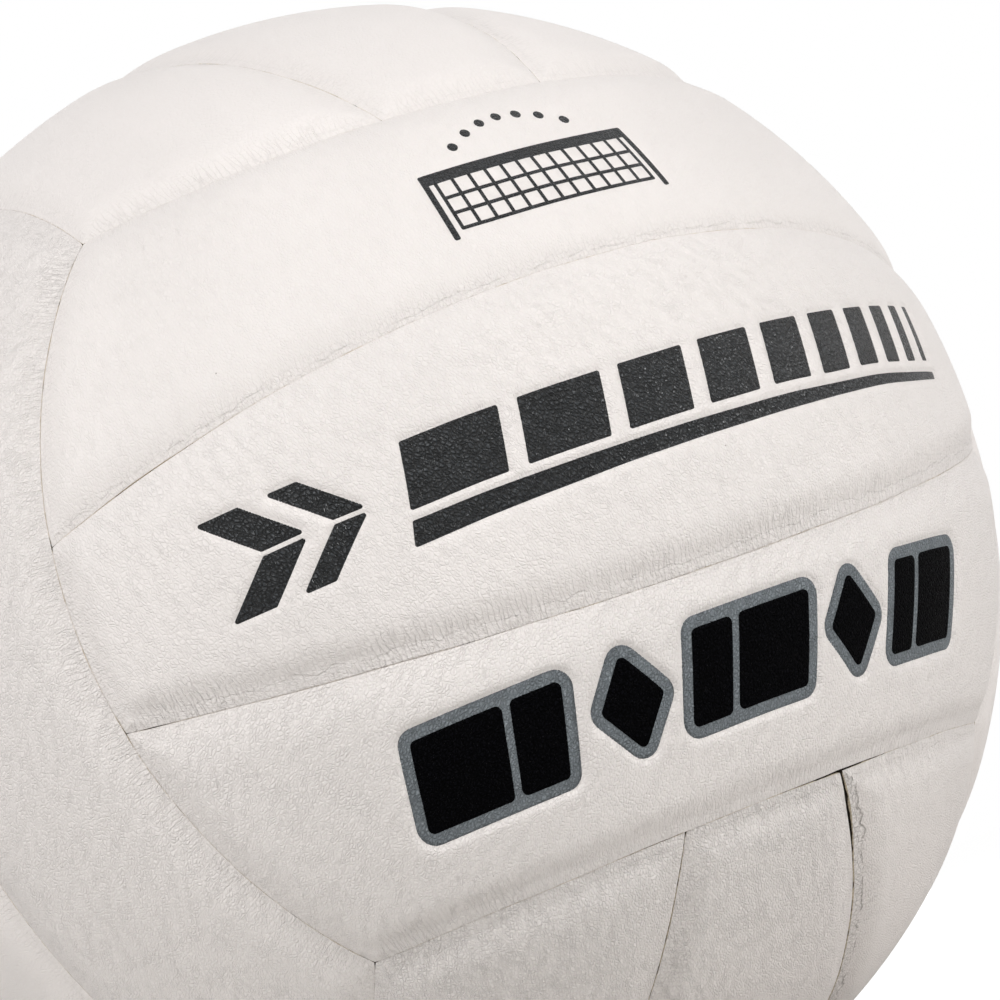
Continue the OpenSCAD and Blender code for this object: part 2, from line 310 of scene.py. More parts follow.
def print_places(n):
    """Print coordinates of a direction: its turn round the ball's upright axis and its height
    angle, both times the ball's radius."""
    return np.arctan2(n[..., 0], -n[..., 1]) * BALL_R, np.arcsin(np.clip(n[..., 2], -1, 1)) * BALL_R


def print_directions(x, y):
    """The direction of a place in print coordinates."""
    a, b = x / BALL_R, y / BALL_R
    return np.stack([np.cos(b) * np.sin(a), -np.cos(b) * np.cos(a), np.sin(b)], axis=-1)


def pressed_depth(n, strip):
    """Depth to which the prints of a strip are pressed in: a soft shoulder and a wall, each the
    square of what is left of its width, steepest at the print's edge. Where two prints are near,
    the deeper one counts."""
    x, y = print_places(n)
    depth = np.zeros(x.shape)
    for where, _, radius, deep, _, shapes in PRINTS.values():
        if where != strip or not deep:
            continue
        for corners in shapes:
            low = np.min(corners, axis=0) - radius - SHOULDER
            high = np.max(corners, axis=0) + radius + SHOULDER
            near = (x > low[0]) & (x < high[0]) & (y > low[1]) & (y < high[1])
            gap = outside_distance(x[near], y[near], corners) - radius
            shoulder = np.clip((SHOULDER - gap) / SHOULDER, 0, 1)
            wall = np.clip((WALL_START - gap) / WALL_WIDTH, 0, 1)
            depth[near] = np.maximum(depth[near], deep * (0.35 * shoulder ** 2 + 0.65 * wall ** 2))
    return depth


# The leather's face

# Each side of a strip, as its lower seam, upper seam and ends: the share of the roll's depth, and
# how hard the stitches pull, from 0 for a plain edge to 1 for a hem gathered into folds
SIDES = {
    ("front", -1): ((1.0, 1.0), (0.9, 0.15), (0.9, 0.4)),
    ("front", 0): ((1.0, 1.0), (0.75, 0.1), (0.9, 0.5)),
    ("front", 1): ((0.8, 0.4), (0.75, 0.3), (0.9, 0.4)),
    ("left", -1): ((0.9, 0.75), (0.9, 0.4), (0.9, 0.5)),
    ("bottom", -1): ((0.9, 0.7), (0.9, 0.4), (1.0, 0.8)),
    ("bottom", 0): ((0.9, 0.7), (0.9, 0.2), (1.0, 0.9)),
    ("bottom", 1): ((0.9, 1.0), (0.9, 0.4), (1.0, 0.8)),
}
OTHER_SIDES = ((0.9, 0.5), (0.9, 0.4), (0.9, 0.6))
# How far each of these sides lies as a flat crinkled hem with its own wavy border
HEMS = {
    ("front", -1): (0, 0.5, 0.3),
    ("front", 0): (1, 0, 0.4),
    ("front", 1): (0.9, 0, 0.3),
    ("left", -1): (0, 0, 0),
    ("bottom", -1): (0, 0.3, 0.4),
    ("bottom", 0): (0.4, 0, 0.7),
    ("bottom", 1): (3.0, 0, 0.7),
}
OTHER_HEMS = (0.3, 0.3, 0.3)


def seam_roll(d, share, pull, look):
    """Depth of the rolled edge at distance d from a seam. A plain edge is the square of what is
    left of the roll's width. A pulled one is steeper and lies flat beside the seam as a hem: its
    depth and the hem's are joined as the eighth root of one over the sum of their inverse eighth
    powers. The pull mixes the two."""
    deep = share * look.roll_depth
    plain = deep * np.clip(1 - d / look.roll_w, 0, 1) ** 2
    steep = 1.65 * deep * np.clip(1 - d / (look.roll_w - look.hem_w), 0, 1) ** 2
    hemmed = (np.maximum(steep, 1e-6) ** -8 + look.hem_depth ** -8) ** (-1 / 8)
    return (1 - pull) * plain + pull * hemmed


def seam_wrinkles(n, d, strip, tilt, pulls, look, seed):
    """Puckers that the stitches pull into the rolled edges: noise that changes quickly along a
    seam and slowly away from it, fading over a few millimetres, and deeper with the pull."""
    total = 0
    for k, (axis, height) in enumerate(strip_sides(strip, tilt)):
        if k == 2:
            along = np.arctan2(n[..., 2], np.abs(n[..., 0])) * np.cos(height) + np.sign(n[..., 0])
        else:
            upward = np.cross(axis, (1.0, 0, 0)) @ n[..., None]
            along = np.arctan2(upward, n[..., :1])[..., 0] * np.cos(height)
        along = along * BALL_R
        fade = np.exp(-(d[k] / look.wrinkle_reach) ** 2)
        flat = np.zeros_like(along)
        fine = value_noise(np.stack([along / 1.5, d[k] / 5, flat], -1), seed + k)
        wide = value_noise(np.stack([along / 3.6, d[k] / 7, flat], -1), seed + k + 10)
        slow = value_noise(np.stack([along / 17, flat, flat], -1), seed + k + 20)
        strength = (0.2 + pulls[k]) * (0.6 + 0.4 * slow)
        total = total + fade * strength * (0.6 * fine + 0.8 * wide)
    return total * look.wrinkle_depth


# Places where a seam stands open: direction, reach in mm, half width in mm
SEAM_OPENINGS = [
    ((0.147, -0.759, -0.634), 8.0, 0.48), ((0.19, -0.628, -0.754), 12.0, 0.1),
    ((0.137, -0.809, -0.572), 1.6, 0.1), ((-0.158, -0.808, -0.568), 1.3, 0.13),
    ((-0.179, -0.751, -0.636), 12.0, 0.07), ((-0.2, -0.653, -0.731), 9.0, 0.06),
    ((-0.21, -0.79, -0.573), 5.0, 0.035), ((0.07, -0.818, -0.57), 6.0, 0.045),
    ((-0.422, -0.71, -0.564), 9.0, 0.028), ((-0.774, -0.615, -0.149), 2.2, 0.08),
    ((-0.71, -0.684, 0.171), 7.0, 0.07), ((-0.66, -0.73, 0.18), 9.0, 0.06),
    ((-0.5, -0.66, 0.561), 6.0, 0.05),
]


def seam_gap(n, look):
    """Half the gap between two panels at a direction of the ball: nothing where they touch, a
    hairline in some stretches, wider between the puckers, and opened at a few places by a bell
    curve."""
    stretch = smooth_step(value_noise(n * BALL_R / 19, 60), -0.15, 0.55)
    stitch = smooth_step(value_noise(n * BALL_R / 0.6, 61), -0.2, 0.8)
    gap = look.gap * stretch * (0.25 + stitch) + 0.003
    for place, reach, width in SEAM_OPENINGS:
        away = np.linalg.norm(n - unit(np.array(place)), axis=-1) * BALL_R
        gap = gap + width * np.exp(-(away / reach) ** 2)
    return gap


def opened(n, strip, tilt, turn, look):
    """Directions of a panel with its edges drawn back from the seams: each side moves in by half
    the gap, and the corners by a little more, and both fade within a millimetre."""
    d = seam_distance(n, strip, tilt)
    gap = seam_gap(n @ turn.T, look)
    corner = np.exp(-(np.hypot(np.minimum(d[0], d[1]), d[2]) / 0.6) ** 2) * look.corner_cut
    moved = n
    for (axis, _), away in zip(strip_sides(strip, tilt), d):
        inward = unit(axis - (n @ axis)[..., None] * n)
        moved = moved + inward * ((gap + corner) * np.exp(-np.maximum(away, 0) / 0.9) / BALL_R)[..., None]
    return unit(moved)


def leather_radius(n, face, strip, look, wrinkled=True):
    """Radius of the leather's face at a direction of the front face: the ball's radius, less the
    rolled edges (the fourth root of the sum of the three seams' depths to the fourth), the fold
    that closes each seam, the puckers and the slow waves of the foam, all held over the foam's
    edge, and less the pressed prints and the dip round the valve's hole."""
    turn, tilt = FACES[face][0], look.tilt
    d = seam_distance(n, strip, tilt)
    world = n @ turn.T
    seed = 100 * list(FACES).index(face) + 30 * (strip + 1)
    vary = 0.5 + 0.5 * value_noise(world * BALL_R / 24, seed)
    sides = SIDES.get((face, strip), OTHER_SIDES)
    pulls = [pull * (0.55 + 0.45 * vary) for _, pull in sides]
    rolls = [seam_roll(x, share, pull, look) for x, (share, _), pull in zip(d, sides, pulls)]
    depth = sum(roll ** 4 for roll in rolls) ** 0.25
    if wrinkled:
        depth = depth + sum(look.fold_depth * np.exp(-(np.maximum(x, 0) / 0.15) ** 1.4) for x in d)
        depth = depth + seam_wrinkles(n, d, strip, tilt, pulls, look, seed + 3)
        slow, quick = value_noise(world * BALL_R / 23, 40), value_noise(world * BALL_R / 8, 41)
        depth = depth + look.wave * (0.5 + 0.35 * slow + 0.15 * quick)
    # The room over the foam: its corners lie 1.38 mm deep, where two seams are both 2 mm away. The
    # depth and the room are joined as in a pulled edge
    least, second = np.maximum(np.sort(d, axis=0)[:2], 0)
    room = 1.26 + 0.7 * np.exp(-(least / 0.8) ** 2) + 0.32 * smooth_step(second, 2.6, 6)
    depth = np.where(depth > 0.5, (np.maximum(depth, 0.5) ** -8 + room ** -8) ** (-1 / 8), depth)
    if wrinkled:
        if face == "front":
            depth = depth + pressed_depth(n, strip)
        if face == "back" and strip == 0:
            from_hole = np.hypot(n[..., 0], n[..., 2]) * BALL_R - VALVE_HOLE_R
            dip = 0.22 * np.exp(-np.maximum(from_hole, 0) / 2.5)
            depth = depth + dip + 0.3 * np.exp(-(from_hole / 0.3) ** 2)
    return BALL_R - depth


def seam_wander(n, look):
    """The ball's directions moved sideways by slow noise, alike for all panels, so that seams
    wander a little from their ideal circles."""
    shift = np.stack([value_noise(n * BALL_R / 11, 50 + k) for k in range(3)], -1)
    return unit(n + shift * look.wander / BALL_R)


def on_ball(n, radius, face, look):
    """Places in metres of directions of the front face, turned to their own face."""
    return seam_wander(n @ FACES[face][0].T, look) * (radius * MM)[..., None]


# Meshes

def grid_faces(index):
    """Four-cornered faces between neighbours of an array of vertex numbers, anticlockwise where
    the columns run right and the rows run up."""
    return np.stack([index[:-1, :-1], index[:-1, 1:], index[1:, 1:], index[1:, :-1]], -1).reshape(-1, 4)


def rim(index):
    """The vertex numbers round an array, anticlockwise from its first corner."""
    return np.concatenate([index[0, :-1], index[:-1, -1], index[-1, :0:-1], index[:0:-1, 0]])


def ring_faces(one, other):
    """Four-cornered faces between two loops of equal length, where the other lies inward."""
    return np.stack([one, np.roll(one, -1), np.roll(other, -1), other], -1)


def fan_faces(fine, coarse):
    """Triangles from a loop to one with a whole fraction of its vertices: each fine edge goes to
    the nearest coarse vertex, and each coarse edge to the fine vertex at its middle."""
    k = len(fine) // len(coarse)
    n = np.arange(len(fine))
    near = coarse[((n + k // 2) // k) % len(coarse)]
    first = np.stack([np.roll(fine, -1), fine, near], -1)
    m = np.arange(len(coarse))
    middle = fine[(k * m + (k + 1) // 2) % len(fine)]
    return np.concatenate([first, np.stack([middle, coarse, np.roll(coarse, -1)], -1)])


def new_piece(name, points, faces, materials, maps=None):
    """A smooth-shaded mesh object in metres at the origin. faces is a list of (array of vertex
    numbers, material number), and maps holds a pair of numbers for each vertex by map name."""
    corners = np.concatenate([f.ravel() for f, _ in faces])
    sizes = np.concatenate([np.full(len(f), f.shape[1]) for f, _ in faces])
    mesh = bpy.data.meshes.new(name)
    mesh.vertices.add(len(points))
    mesh.vertices.foreach_set("co", points.astype(np.float32).ravel())
    mesh.loops.add(len(corners))
    mesh.loops.foreach_set("vertex_index", corners.astype(np.int32))
    mesh.polygons.add(len(sizes))
    mesh.polygons.foreach_set("loop_start", np.concatenate([[0], np.cumsum(sizes)[:-1]]).astype(np.int32))
    mesh.polygons.foreach_set("use_smooth", np.ones(len(sizes), bool))
    numbers = np.concatenate([np.full(len(f), number) for f, number in faces])
    mesh.polygons.foreach_set("material_index", numbers.astype(np.int32))
    for label, pairs in (maps or {}).items():
        layer = mesh.uv_layers.new(name=label)
        layer.uv.foreach_set("vector", pairs[corners].astype(np.float32).ravel())
    mesh.update(calc_edges=True)
    if mesh.validate():
        raise RuntimeError(f"the mesh of {name} had faults")
    for material in materials:
        mesh.materials.append(material)
    piece = bpy.data.objects.new(name, mesh)
    bpy.context.scene.collection.objects.link(piece)
    return piece


# Each panel's grain: the angle of its cells in degrees, how fine they are, and their depth
GRAINS = {
    ("front", -1): (50, 1.25, 2.4),
    ("front", 0): (-28, 1.15, 2.0),
    ("front", 1): (-12, 1.15, 1.3),
    ("left", -1): (-50, 1.2, 2.4),
    ("bottom", -1): (80, 1.3, 4.0),
    ("bottom", 0): (80, 1.3, 4.0),
    ("bottom", 1): (80, 1.4, 2.4),
}
# Distances in millimetres, along and across, between the panels' places on the hide
HIDE_STEP = (211, 97)


def panel_grain(face, strip):
    """The grain of a panel, and its number on the ball. The angles of the panels without a grain of
    their own are spread by the golden share of their numbers."""
    number = 3 * list(FACES).index(face) + strip + 1
    return GRAINS.get((face, strip), (-24 + 47 * (number * 0.618 % 1), 1.0, 1.0)) + (number,)


def hide_place(x, y, face, strip):
    """Where a panel lay on the hide that it was cut from: its print places, turned by an angle of
    the panel's own, drawn out by its fineness and moved away from the other panels' places."""
    degrees, fineness, _, number = panel_grain(face, strip)
    c, s = np.cos(np.radians(degrees)) * fineness, np.sin(np.radians(degrees)) * fineness
    return np.stack([c * x - s * y + HIDE_STEP[0] * number, s * x + c * y + HIDE_STEP[1] * number], -1)


def nearest_side(d, face, strip):
    """The pull of the nearest seam's stitches, and how much of a hem there is beside it."""
    nearest = np.argmin(d, axis=0)
    pulls = np.array([pull for _, pull in SIDES.get((face, strip), OTHER_SIDES)])
    hems = np.array(HEMS.get((face, strip), OTHER_HEMS), float)
    return np.stack([pulls[nearest], hems[nearest]], -1)


# Rings of the leather round the valve's hole, and how they crowd towards it
VALVE_RINGS, VALVE_CROWDING = 14, 1.7


def valve_skin(face_n, front_index, back_index, first, face, strip, look):
    """The leather round the valve's hole: which faces of the grid make room for it, rings of
    directions and radii from a square in the grid in to the hole, down its wall and out again
    under the leather, and the faces between them. The new vertices count from first."""
    rows, columns = face_n.shape[0] - 1, face_n.shape[1] - 1
    x, z = face_n[..., 0] * BALL_R, face_n[..., 2] * BALL_R
    i = np.flatnonzero(np.abs(x[rows // 2]) < 2 * VALVE_HOLE_R)
    j = np.flatnonzero(np.abs(z[:, columns // 2]) < 2 * VALVE_HOLE_R)
    block = (slice(j[0], j[-1] + 1), slice(i[0], i[-1] + 1))
    whole = np.ones((rows, columns), bool)
    whole[j[0]:j[-1], i[0]:i[-1]] = False
    start = rim(front_index[block])
    square = face_n.reshape(-1, 3)[start]
    angle = np.arctan2(square[:, 2], square[:, 0])
    hole = VALVE_HOLE_R / BALL_R
    depth = np.full(len(angle), -np.sqrt(1 - hole ** 2))
    circle = np.stack([hole * np.cos(angle), depth, hole * np.sin(angle)], -1)
    shares = 1 - (1 - np.linspace(0, 1, VALVE_RINGS + 1)[1:]) ** VALVE_CROWDING
    rings = [unit(square + s * (circle - square)) for s in shares]
    radii = [leather_radius(ring, face, strip, look) for ring in rings]
    under = np.full(len(angle), BALL_R - LEATHER_T - 0.05)
    rings += [circle, circle] + [unit(circle + s * (square - circle)) for s in (0.3, 0.65)]
    radii += [radii[-1] * 0.4 + under * 0.6, under, under, under]
    loops = [start] + [first + k * len(start) + np.arange(len(start)) for k in range(len(rings))]
    loops.append(rim(back_index[block]))
    pairs = enumerate(zip(loops, loops[1:]))
    skin = [(ring_faces(a, b), 0 if k <= VALVE_RINGS else 1) for k, (a, b) in pairs]
    return whole.ravel(), rings, radii, skin


# Faces of a panel's grid along and across, and how many of them one face of its back spans: on the
# face with the prints, the other panels that show beside it, the one with the valve, and the rest
PRINTED_GRID, NEAR_GRID, VALVE_GRID, FAR_GRID = (528, 160, 4), (340, 96, 4), (200, 96, 1), (168, 80, 4)
# A strip's rough length and width, the spacing of the grid at its ends and sides, how far it grows,
# and the radius at the middle of a hem's outer wall, in millimetres
STRIP_LENGTH, STRIP_WIDTH, END_STEP, SIDE_STEP, STEP_REACH = 196, 50, 0.22, 0.08, 3
HEM_MIDDLE_R = BALL_R - 2.6


def leather_shell(face, strip, look):
    """One panel as a closed shell: the leather's face on a grid, the hem's outer wall, the hem's
    lower edge, its inner wall, and the leather's back on a coarser grid."""
    valve = face == "back" and strip == 0
    near = face in ("top", "bottom") or face == "left" and strip == -1
    grid = PRINTED_GRID if face == "front" else VALVE_GRID if valve else NEAR_GRID if near else FAR_GRID
    columns, rows, ratio = grid
    u = spaced(columns, STRIP_LENGTH, END_STEP, STRIP_LENGTH / columns, STEP_REACH)
    v = spaced(rows, STRIP_WIDTH, SIDE_STEP, STRIP_WIDTH / rows, STEP_REACH)
    plain = strip_patch(strip, look.tilt, 0.0, u, v)
    face_n = opened(plain, strip, look.tilt, FACES[face][0], look)
    back_n = strip_patch(strip, look.tilt, LEATHER_T, u[::ratio], v[::ratio])
    front_index = np.arange(face_n[..., 0].size).reshape(face_n.shape[:2])
    back_index = np.arange(back_n[..., 0].size).reshape(back_n.shape[:2]) + front_index.size
    back_r = leather_radius(back_n, face, strip, look, wrinkled=False) - LEATHER_T
    outer, inner = rim(front_index), rim(back_index)
    wall_n = face_n.reshape(-1, 3)[outer][::ratio]
    hem_n = back_n.reshape(-1, 3)[inner - front_index.size]
    count = len(wall_n)
    loops = [np.arange(count) + front_index.size + back_index.size + k * count for k in range(3)]
    directions = [face_n.reshape(-1, 3), back_n.reshape(-1, 3), wall_n, wall_n, hem_n]
    radii = [leather_radius(face_n, face, strip, look).ravel(), back_r.ravel()]
    radii += [np.full(count, radius) for radius in (HEM_MIDDLE_R, HEM_R, HEM_R)]
    front_faces, back_faces = grid_faces(front_index), grid_faces(back_index)[:, ::-1]
    skin = []
    if valve:
        first = loops[-1][-1] + 1
        whole, rings, ring_radii, skin = valve_skin(
            face_n, front_index, back_index, first, face, strip, look)
        front_faces, back_faces = front_faces[whole], back_faces[whole]
        directions += rings
        radii += ring_radii
    n, r = np.concatenate(directions), np.concatenate(radii)
    d = seam_distance(n, strip, look.tilt)
    x, y = print_places(n)
    maps = {
        "Surface": np.stack([x, y], -1) * MM,
        "Hide": hide_place(x, y, face, strip) * MM,
        "Edge": np.stack([np.minimum(d[0], d[1]), d[2]], -1) * MM,
        "Pull": nearest_side(d, face, strip),
        "Depth": np.full((len(n), 2), panel_grain(face, strip)[2]),
    }
    faces = [(front_faces, 0)] + skin + [(fan_faces(outer, loops[0]), 1)]
    faces += [(ring_faces(a, b)[:, ::-1], 1) for a, b in zip(loops, loops[1:] + [inner])]
    faces.append((back_faces, 2))
    finishes = [material("leather"), material("hem"), material("backing")]
    return new_piece(f"{panel_name(face, strip)}_leather", on_ball(n, r, face, look), faces, finishes, maps)


# A print's sheet, in millimetres: how much further each shape is lifted than the last, the height
# of its skirt, the distance of points on an outline, and that of its rings
LIFT_STEP, SKIRT, OUTLINE_STEP, RING_STEP = 0.002, -0.12, 0.5, 0.7


def print_sheet(name, look):
    """The ink of one print: plates whose rings shrink from the outline to the centre, laid on the
    leather's face, with a skirt that reaches down into it."""
    strip, kind, radius, _, lift, shapes = PRINTS[name]
    directions, lifts, faces, first = [], [], [], 0
    for number, corners in enumerate(shapes):
        edge = outline(corners, radius, OUTLINE_STEP)
        centre = np.mean(corners, axis=0)
        rings = max(3, int(np.max(np.linalg.norm(edge - centre, axis=1)) / RING_STEP))
        share = np.concatenate([[1], np.linspace(1, 0, rings + 1)[:-1]])
        places = (centre + share[:, None, None] * (edge - centre)).reshape(-1, 2)
        places = np.concatenate([places, centre[None]])
        index = first + np.arange(len(share) * len(edge)).reshape(len(share), len(edge))
        pole = first + index.size
        faces += [(ring_faces(a, b), 0) for a, b in zip(index, index[1:])]
        last = index[-1]
        faces.append((np.stack([last, np.roll(last, -1), np.full(len(edge), pole)], -1), 0))
        directions.append(print_directions(places[:, 0], places[:, 1]))
        # Each shape lies a hair over the last, so that crossing cords do not share one surface
        level = np.full(index.size + 1, lift + LIFT_STEP * number)
        level[:len(edge)] = SKIRT
        lifts.append(level)
        first = pole + 1
    n = np.concatenate(directions)
    r = leather_radius(n, "front", strip, look) + np.concatenate(lifts)
    x, y = print_places(n)
    maps = {
        "Surface": np.stack([x, y], -1) * MM,
        "Hide": hide_place(x, y, "front", strip) * MM,
        "Depth": np.ones((len(n), 2)),
    }
    return new_piece(name, on_ball(n, r, "front", look), faces, [material(kind)], maps)


# Materials

def linear(colour):
    """An sRGB hex colour as the linear numbers that shaders use."""
    part = np.array([int(colour[k:k + 2], 16) for k in (1, 3, 5)]) / 255
    return tuple(np.where(part <= 0.04045, part / 12.92, ((part + 0.055) / 1.055) ** 2.4)) + (1.0,)


def add(tree, kind, inputs=(), **settings):
    """A node with its settings. Its inputs, by name or in order, are each a number, a colour, a
    socket, or a node that stands for its first live output."""
    node = tree.nodes.new("ShaderNode" + kind)
    for key, value in settings.items():
        setattr(node, key, value)
    for key, value in (inputs if isinstance(inputs, dict) else dict(enumerate(inputs))).items():
        if isinstance(value, bpy.types.Node):
            value = next(socket for socket in value.outputs if socket.enabled)
        if isinstance(value, bpy.types.NodeSocket):
            tree.links.new(value, node.inputs[key])
        else:
            node.inputs[key].default_value = value
    return node


# Settings that many nodes share: metres to millimetres, a value read as a smooth step from its
# second number to its third, a mix of colours, a noise on a flat map, the distance to the border
# between two cells of a flat map, and the steps of arithmetic
PER_MM = (1 / MM, 1 / MM, 1 / MM)
SMOOTH = {"interpolation_type": "SMOOTHSTEP"}
COLOUR = {"data_type": "RGBA"}
FLAT = {"noise_dimensions": "2D"}
BORDERS = {"feature": "DISTANCE_TO_EDGE", "voronoi_dimensions": "2D"}
LESS = {"operation": "SUBTRACT"}
TIMES = {"operation": "MULTIPLY"}
TIMES_PLUS = {"operation": "MULTIPLY_ADD"}

# Colours of the painted shade in the leather's creases, of its specks, of the holes in cut foam
# and of the shadow between a thread's plies
CREASE_SHADE, SPECK, FOAM_HOLE, PLY_SHADOW = "#8a8078", "#8d8178", "#cdbf8d", "#a08c6a"


def new_material(name, colour):
    """An empty material, and its tree. The viewport shows it in its finish's own colour."""
    mat = bpy.data.materials.new(name)
    mat.use_nodes = True
    mat.node_tree.nodes.clear()
    mat.diffuse_color = linear(colour)
    return mat, mat.node_tree


def object_place(tree):
    """The object's own coordinates in millimetres."""
    place = add(tree, "TexCoord").outputs["Object"]
    return add(tree, "Mapping", {"Vector": place, "Scale": PER_MM})


def map_place(tree, name):
    """A flat map of the piece in millimetres."""
    return add(tree, "Mapping", {"Vector": add(tree, "UVMap", uv_map=name), "Scale": PER_MM})


def grain_height(tree):
    """Height in millimetres of the nappa grain that a roller embossed: lens-shaped cells 0.6 mm
    wide and 1 mm long with creases between them, some of them nearly closed, deeper in some
    streaks and on some panels than on others, and pores of 0.5 mm. The second value is 0 in a
    crease and 1 on a cell, and the third is the panel's own depth."""
    hide = map_place(tree, "Hide")
    bend = add(tree, "TexNoise", {"Vector": hide, "Scale": 0.6, "Detail": 1}, **FLAT).outputs["Color"]
    place = add(tree, "VectorMath", (bend, (0.8, 0.8, 0), hide), **TIMES_PLUS)
    cells = add(tree, "Mapping", {"Vector": place, "Scale": (1.7, 1.0, 1)})
    cells = add(tree, "TexVoronoi", {"Vector": cells, "Scale": 1}, **BORDERS)
    pebbles = add(tree, "MapRange", (cells, 0, 0.27), **SMOOTH)
    streaks = add(tree, "Mapping", {"Vector": place, "Scale": (0.5, 0.2, 1)})
    streaks = add(tree, "TexNoise", {"Vector": streaks, "Scale": 1, "Detail": 3}, **FLAT)
    deep = add(tree, "MapRange", (streaks, 0.34, 0.66, 0.026, 0.042), **SMOOTH)
    pores = add(tree, "TexNoise", {"Vector": hide, "Scale": 2, "Detail": 1}, **FLAT)
    pores = add(tree, "Math", (pores, 0.022), **TIMES)
    height = add(tree, "Math", (pebbles, deep, pores), **TIMES_PLUS)
    share = add(tree, "SeparateXYZ", (add(tree, "UVMap", uv_map="Depth"),))
    return add(tree, "Math", (height, share), **TIMES), pebbles, share


def crease_depth(tree, along, away, reach):
    """Depth, from 0 to 1, of the creases between the folds that the stitches gather beside a seam:
    cells 0.8 mm wide and 6 mm long away from the seam, bent a little, fading within the reach."""
    flat = add(tree, "CombineXYZ", {"X": along, "Y": away})
    bend = add(tree, "TexNoise", {"Vector": flat, "Scale": 0.4, "Detail": 1}, **FLAT).outputs["Color"]
    folds = add(tree, "VectorMath", (bend, (0.9, 0.9, 0), flat), **TIMES_PLUS)
    folds = add(tree, "Mapping", {"Vector": folds, "Scale": (1.25, 0.17, 1)})
    folds = add(tree, "TexVoronoi", {"Vector": folds, "Scale": 1}, **BORDERS)
    folds = add(tree, "MapRange", (folds, 0.14, 0), **SMOOTH)
    fade = add(tree, "MapRange", (add(tree, "Math", (away, reach), operation="DIVIDE"), 1, 0.25), **SMOOTH)
    return add(tree, "Math", (folds, fade), **TIMES)


def gathered_creases(tree, away, nearest, pull):
    """Depth in millimetres of the creases that run away from the nearest seam. They are deeper
    with the pull and in some places than in others, and fade where two seams are equally near."""
    place = add(tree, "SeparateXYZ", (map_place(tree, "Surface"),)).outputs
    uneven = add(tree, "TexNoise", {"Vector": object_place(tree), "Scale": 0.07, "Detail": 1})
    uneven = add(tree, "MapRange", (uneven, 0.36, 0.62, 0.5, 1), **SMOOTH)
    between = add(tree, "Math", (away["X"], away["Y"]), **LESS)
    apart = add(tree, "MapRange", (add(tree, "Math", (between,), operation="ABSOLUTE"), 0.1, 1.1), **SMOOTH)
    strength = add(tree, "Math", (pull, 0.08, 0.008), **TIMES_PLUS)
    strength = add(tree, "Math", (add(tree, "Math", (strength, uneven), **TIMES), apart), **TIMES)
    # Beside an end the creases are counted along the strip's height, else along its length, and
    # each panel's start at a place of their own
    ended = add(tree, "Math", (between, 0), operation="GREATER_THAN")
    other = add(tree, "Math", (place["Y"], place["X"]), **LESS)
    along = add(tree, "Math", (ended, other, place["X"]), **TIMES_PLUS)
    hide = add(tree, "UVMap", uv_map="Hide")
    shift = add(tree, "Mapping", {"Vector": hide, "Scale": (1 / MM / HIDE_STEP[1],) * 3})
    along = add(tree, "Math", (along, add(tree, "SeparateXYZ", (shift,)).outputs["Y"]))
    creases = crease_depth(tree, along, nearest, add(tree, "Math", (pull, 7, 1.8), **TIMES_PLUS))
    return add(tree, "Math", (creases, strength), **TIMES)


def crinkled_hem(tree, nearest, pull, hem):
    """The gathered hem: a net of creases 1 mm apart in a band 3 mm wide, as the height of the
    band, how much of its height a place has, and how near the wavy crease is where it ends."""
    surface = map_place(tree, "Surface")
    bend = add(tree, "TexNoise", {"Vector": surface, "Scale": 0.7, "Detail": 1}, **FLAT).outputs["Color"]
    net = add(tree, "VectorMath", (bend, (1.3, 1.3, 0), surface), **TIMES_PLUS)
    net = add(tree, "TexVoronoi", {"Vector": net, "Scale": 1}, **BORDERS)
    tops = add(tree, "MapRange", (net, 0, 0.15), **SMOOTH)
    band = add(tree, "MapRange", (nearest, 3.2, 1.4), **SMOOTH)
    band = add(tree, "Math", (band, add(tree, "Math", (hem, 0.05), **TIMES)), **TIMES)
    sway = add(tree, "TexNoise", {"Vector": surface, "Scale": 0.32, "Detail": 2}, **FLAT)
    sway = add(tree, "Math", (sway, add(tree, "Math", (pull, 1.4, 0.9), **TIMES_PLUS)), **TIMES)
    off = add(tree, "Math", (add(tree, "Math", (pull, 0.7, sway), **TIMES_PLUS), nearest), **LESS)
    border = add(tree, "MapRange", (add(tree, "Math", (off,), operation="ABSOLUTE"), 0.24, 0.02), **SMOOTH)
    broken = add(tree, "TexNoise", {"Vector": surface, "Scale": 0.22, "Detail": 2}, **FLAT)
    broken = add(tree, "MapRange", (broken, 0.38, 0.5), **SMOOTH)
    border = add(tree, "Math", (add(tree, "Math", (border, broken), **TIMES), hem), **TIMES)
    return band, tops, border


